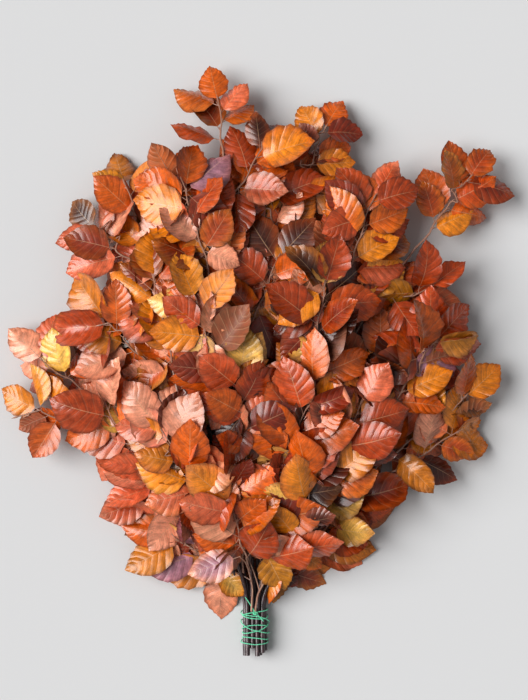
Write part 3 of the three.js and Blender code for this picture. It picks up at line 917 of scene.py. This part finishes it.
def cut_wood_material(wood):
    """Freshly sawn beech end grain: pale, matt, with fine dark pores and a slightly torn face."""
    material, tree, shader = new_material("sawn_beech_end", {"Roughness": 0.75})
    pores = cloudy(tree, object_place(tree), 1400, 2)
    amount = remap(tree, pores, 0.45, 0.65, 0.0, 0.7)
    connect(tree, shader, {
        "Base Color": blend(tree, amount, opaque(wood.cut), opaque(srgb(END_GRAIN_PORE))),
        "Normal": relief(tree, pores, 0.4, 0.2 * MM),
    })
    return material


def twine_material(twine):
    """Dyed spun fibre: a matt, slightly hairy yarn, lighter where the fibres stand up."""
    values = {"Roughness": 0.78, "Sheen Weight": 0.35, "Sheen Roughness": 0.5}
    material, tree, shader = new_material("dyed_spun_twine", values)
    # Fibres are hundredths of a millimetre thick; these are 0.4 mm so that they show.
    fibres = cloudy(tree, object_place(tree), 2500, 3)
    tone = remap(tree, fibres, 0.3, 0.7, 0.72, 1.25)
    connect(tree, shader, {
        "Base Color": tinted(tree, tuple(twine.colour), tone),
        "Normal": relief(tree, fibres, 0.6, 0.15 * MM),
    })
    return material


def binding_route(steps_per_turn):
    """The twine's middle line round the stems: down the bundle, then back up over its own turns."""
    turns = TURNS_DOWN + TURNS_UP
    count = round(turns * steps_per_turn)
    power = 2 / BINDING_ROUNDNESS
    route = []
    for i in range(count + 1):
        turn = i / count * turns
        angle = turn * 2 * math.pi - math.pi / 2
        over = min(max((turn - TURNS_DOWN + CLIMB_BEFORE) / CLIMB_TURNS, 0), 1)
        lift = over * over * (3 - 2 * over) * CROSSING_LIFT
        down = min(turn / TURNS_DOWN, 1)
        back = max(turn - TURNS_DOWN, 0) / TURNS_UP
        tilt = TURN_TILT * math.sin(math.pi * (down - back)) * math.sin(TILT_PER_TURN * turn)
        y = TWINE_TOP + (TWINE_BOTTOM - TWINE_TOP) * (down - back) + tilt * math.cos(angle)
        waves = (math.cos(angle), math.sin(angle))
        across, up = (math.copysign(abs(wave) ** power, wave) for wave in waves)
        route.append(TIE + Vector((
            across * (BINDING_HALF_WIDTH + lift), y, up * (BINDING_HALF_HEIGHT + lift)
        )))
    return route


def twisted(route, twine):
    """Two strands laid round each other along a route."""
    strand_radius = twine.diameter / 4 * STRAND_FULLNESS
    pair = []
    for start in (0, math.pi):
        strand, travelled = [], 0
        for i, point in enumerate(route):
            along = (route[min(i + 1, len(route) - 1)] - route[max(i - 1, 0)]).normalized()
            side = along.cross(Vector(OFF_UPRIGHT)).normalized()
            above = side.cross(along)
            turn = start + travelled / twine.lay * 2 * math.pi
            place = point + (side * math.cos(turn) + above * math.sin(turn)) * twine.diameter / 4
            strand.append(with_radius(place, strand_radius))
            if i + 1 < len(route):
                travelled += (route[i + 1] - point).length
        pair.append((0, strand))
    return pair


def knot_route():
    """A small overhand knot, as a three-lobed loop that passes over and under itself."""
    top = TIE + Vector((*KNOT, BINDING_HALF_HEIGHT + CROSSING_LIFT * KNOT_PERCH))
    route = []
    for i in range(KNOT_STEPS + 1):
        t = i / KNOT_STEPS * 2 * math.pi
        radius = (KNOT_REACH + KNOT_LOBE * math.cos(3 * t)) * MM
        route.append(top + Vector((
            radius * math.cos(2 * t) * KNOT_WIDENING, radius * math.sin(2 * t), KNOT_HEIGHT * math.sin(3 * t)
        )))
    return route


def neck_blades():
    """The leaves that hang round the neck of the bunch."""
    blades = []
    for foot, tip, width, tilt, *colours in NECK_LEAVES:
        foot, tip = (TIE + Vector(place) * MM for place in (foot, tip))
        normal = Vector((*tilt, 1)).normalized()
        reach = tip - foot
        blades.append(Blade(foot, reach.normalized(), normal, reach.length, width * MM, colours))
    return blades


def neck_shoots():
    """The thin pale shoots that rise out of the tie in front of the stems, with their forks."""
    strands = []
    for thickness, *places in NECK_SHOOTS:
        count = len(places)
        points = [
            with_radius(TIE + Vector(place) * MM, thickness * MM / 2 * (1 - SHOOT_TAPER * i / count))
            for i, place in enumerate(places)
        ]
        strands.append((0, smooth_route(points, SHOOT_STEPS)))
    return strands


# ---- Operators ------------------------------------------------------------------------------------


class BEECH_OT_stage(bpy.types.Operator):
    """Makes the floor, the soft lights and the camera that looks straight down"""
    bl_idname = "beech.stage"
    bl_label = "Stage"

    def execute(self, context):
        stage = context.scene.beech_stage
        bm = bmesh.new()
        bmesh.ops.create_grid(bm, x_segments=1, y_segments=1, size=FLOOR_HALF)
        mesh = bpy.data.meshes.new("floor")
        bm.to_mesh(mesh)
        bm.free()
        paper, _, _ = new_material("pale_paper_floor", {
            "Base Color": opaque(stage.floor), "Roughness": 0.9, "Specular IOR Level": 0.2,
        })
        mesh.materials.append(paper)
        floor = bpy.data.objects.new("floor", mesh)
        context.scene.collection.objects.link(floor)

        world = bpy.data.worlds.new("even_light")
        world.use_nodes = True
        world.node_tree.nodes["Background"].inputs["Strength"].default_value = stage.sky
        world.node_tree.nodes["Background"].inputs["Color"].default_value = opaque(srgb(SKY))
        context.scene.world = world
        for name, towards, spread, strength in (
            ("key_light", KEY_TOWARDS, KEY_SPREAD, stage.key),
            ("fill_light", FILL_TOWARDS, FILL_SPREAD, stage.fill),
        ):
            lamp = bpy.data.lights.new(name, "SUN")
            lamp.angle = spread
            lamp.energy = strength
            light = bpy.data.objects.new(name, lamp)
            light.rotation_euler = Vector(towards).to_track_quat("-Z", "Y").to_euler()
            context.scene.collection.objects.link(light)

        lens = bpy.data.cameras.new("camera")
        lens.sensor_fit = "VERTICAL"
        lens.sensor_height = SENSOR
        camera = bpy.data.objects.new("camera", lens)
        target = TIE + Vector(VIEW_CENTRE) * MM
        height = CAD_HIGH.z / 2 + CAMERA_DISTANCE
        camera.location = (target.x, target.y, height)
        lens.lens = SENSOR * CAMERA_DISTANCE / VIEW_HEIGHT
        context.scene.collection.objects.link(camera)
        context.scene.camera = camera
        context.scene.view_settings.view_transform = "Standard"
        context.scene.view_settings.gamma = CONTRAST
        context.scene.view_settings.exposure = EXPOSURE
        return {"FINISHED"}


class BEECH_OT_stems(bpy.types.Operator):
    """Makes the thirteen bare stems with their bark and sawn ends"""
    bl_idname = "beech.stems"
    bl_label = "Stems"

    def execute(self, context):
        wood = context.scene.beech_wood
        # The twig colour is also the painted light that pales the stems' upper wood.
        bark = bark_material("young_beech_bark", wood.bark, wood.bark_light, wood.twig, 1.0)
        cut = cut_wood_material(wood)
        for name in STEMS:
            mesh = stem_mesh(name, read_stem(name), random.Random(name))
            show(name.replace("stem", "branch"), mesh, [bark, cut], "bark", name)
        return {"FINISHED"}


class BEECH_OT_sprays(bpy.types.Operator):
    """Makes every side spray: its leaves, and its twig with stalks and buds"""
    bl_idname = "beech.sprays"
    bl_label = "Leafy sprays"

    def execute(self, context):
        leaves, wood = context.scene.beech_leaves, context.scene.beech_wood
        skins = [leaf_material("beech_leaf_upper", leaves, True),
                 leaf_material("beech_leaf_under", leaves, False)]
        bud = srgb(BUD_SCALE)
        woods = [bark_material("beech_twig_bark", wood.twig, wood.stalk, wood.twig, 0.25),
                 stalk_material(wood),
                 bark_material("beech_bud_scales", bud, srgb(BUD_SCALE_LIGHT), bud, 0.1)]
        pattern = blade_pattern(leaves)
        sprays = []
        for node in SPRAYS:
            draw = random.Random(node)
            blades, route = read_spray(node)
            strands = twig_strands(blades, route, draw, wood)
            blades += [more for blade in blades for more in companions(blade, draw)]
            sprays.append((node.replace("spray_", ""), blades, strands, draw, [node]))
        sprays.append(("neck", neck_blades(), neck_shoots(), random.Random("neck"), []))
        for name, blades, strands, draw, nodes in sprays:
            bm = bmesh.new()
            for blade in blades:
                form = LeafForm(draw)
                add_leaf(bm, pattern, blade, form, draw, leaves)
                strands.append((1, stalk_strand(blade, form, leaves)))
            mesh = bpy.data.meshes.new(name)
            bm.to_mesh(mesh)
            bm.free()
            show("leaves_" + name, mesh, skins, "leaf", *nodes)
            show("twig_" + name, rods_mesh(name, strands, STALK_SIDES), woods, "bark", *nodes)
        return {"FINISHED"}


class BEECH_OT_twine(bpy.types.Operator):
    """Winds the two-strand twine round the stems and ties it"""
    bl_idname = "beech.twine"
    bl_label = "Twine"

    def execute(self, context):
        twine = context.scene.beech_twine
        top = TIE + Vector((0, 0, BINDING_HALF_HEIGHT + CROSSING_LIFT / 2))
        tails = [[top + Vector((x, y, 0)) * MM for x, y in tail] for tail in TAILS]
        knot = Vector((*KNOT, 0))
        routes = [binding_route(STEPS_PER_TURN), knot_route()]
        routes += [smooth_route([top + knot] + tail, TAIL_STEPS) for tail in tails]
        strands = [strand for route in routes for strand in twisted(route, twine)]
        show("twine", rods_mesh("twine", strands, TWINE_SIDES), [twine_material(twine)], "twine", BINDING)
        return {"FINISHED"}


class BEECH_PT_panel(bpy.types.Panel):
    """The pieces of the bunch and the sizes and colours they are made with"""
    bl_label = "Preserved Beech Bunch"
    bl_idname = "BEECH_PT_panel"
    bl_space_type = "VIEW_3D"
    bl_region_type = "UI"
    bl_category = "Beech"

    def draw(self, context):
        for name, settings, operators in PANEL_ROWS:
            box = self.layout.box()
            box.label(text=name)
            group = getattr(context.scene, settings)
            for key in group.__annotations__:
                box.prop(group, key)
            for operator in operators:
                box.operator(operator)


PANEL_ROWS = (
    ("Stage", "beech_stage", ("beech.stage",)),
    ("Wood", "beech_wood", ("beech.stems",)),
    ("Leaves", "beech_leaves", ("beech.sprays",)),
    ("Twine", "beech_twine", ("beech.twine",)),
)
SETTINGS = {
    "beech_leaves": BeechLeafSettings,
    "beech_wood": BeechWoodSettings,
    "beech_twine": BeechTwineSettings,
    "beech_stage": BeechStageSettings,
}
CLASSES = (
    *SETTINGS.values(), BEECH_OT_stage, BEECH_OT_stems, BEECH_OT_sprays, BEECH_OT_twine, BEECH_PT_panel,
)


def register():
    for cls in CLASSES:
        bpy.utils.register_class(cls)
    for key, group in SETTINGS.items():
        setattr(bpy.types.Scene, key, PointerProperty(type=group))


def unregister():
    for key in SETTINGS:
        delattr(bpy.types.Scene, key)
    for cls in reversed(CLASSES):
        bpy.utils.unregister_class(cls)


def main():
    register()
    bpy.ops.beech.stage()
    bpy.ops.beech.stems()
    bpy.ops.beech.sprays()
    bpy.ops.beech.twine()
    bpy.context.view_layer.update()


if __name__ == "__main__":
    main()
